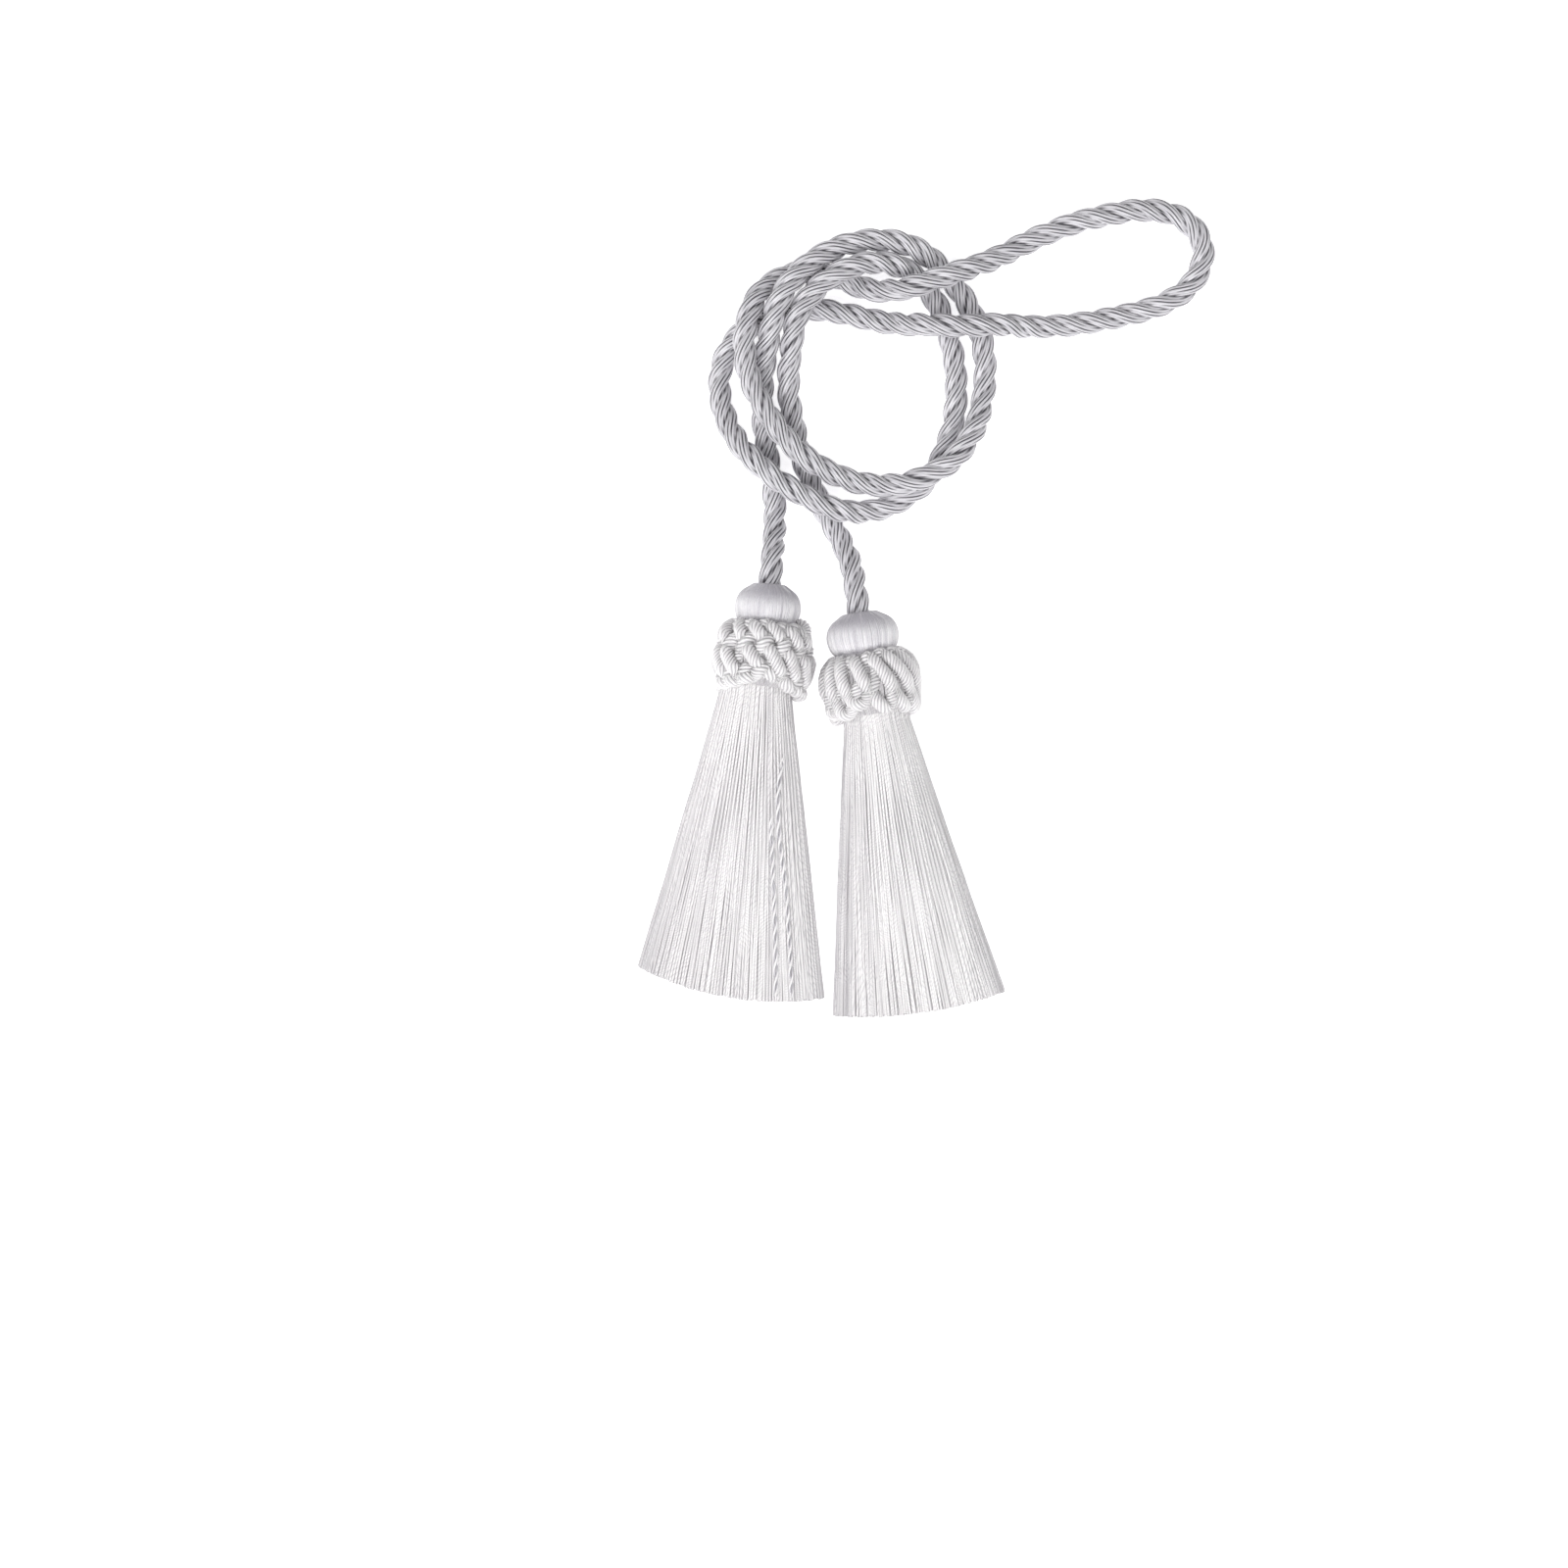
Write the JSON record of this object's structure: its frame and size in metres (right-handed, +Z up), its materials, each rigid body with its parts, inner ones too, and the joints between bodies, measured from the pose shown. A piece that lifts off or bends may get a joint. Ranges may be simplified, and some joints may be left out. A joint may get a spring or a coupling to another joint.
{
  "type": "curtain tieback tassel",
  "caption": "Curtain tieback: a twisted three-ply cord wound in a loose ring, with a ruffed tassel at each end, lying flat.",
  "frame": {"origin": "on the surface that the tieback lies on, at the centre of the ground that the two tassels cover", "axes": "+Z up, +Y from the tassels' hems towards the ring of cord, +X towards the bight of cord that sticks out of the ring"},
  "size_m": [0.1942, 0.2779, 0.0328],
  "materials": {
    "silver_cord": "satin spun rayon in three twisted plies",
    "white_yarn": "satin spun rayon yarn, wound, knotted and cut"
  },
  "bodies": {
    "root": {"cord": "silver_cord", "left_head": "white_yarn", "left_ruff": "white_yarn", "left_skirt": "white_yarn", "right_head": "white_yarn", "right_ruff": "white_yarn", "right_skirt": "white_yarn"}
  },
  "joints": []
}
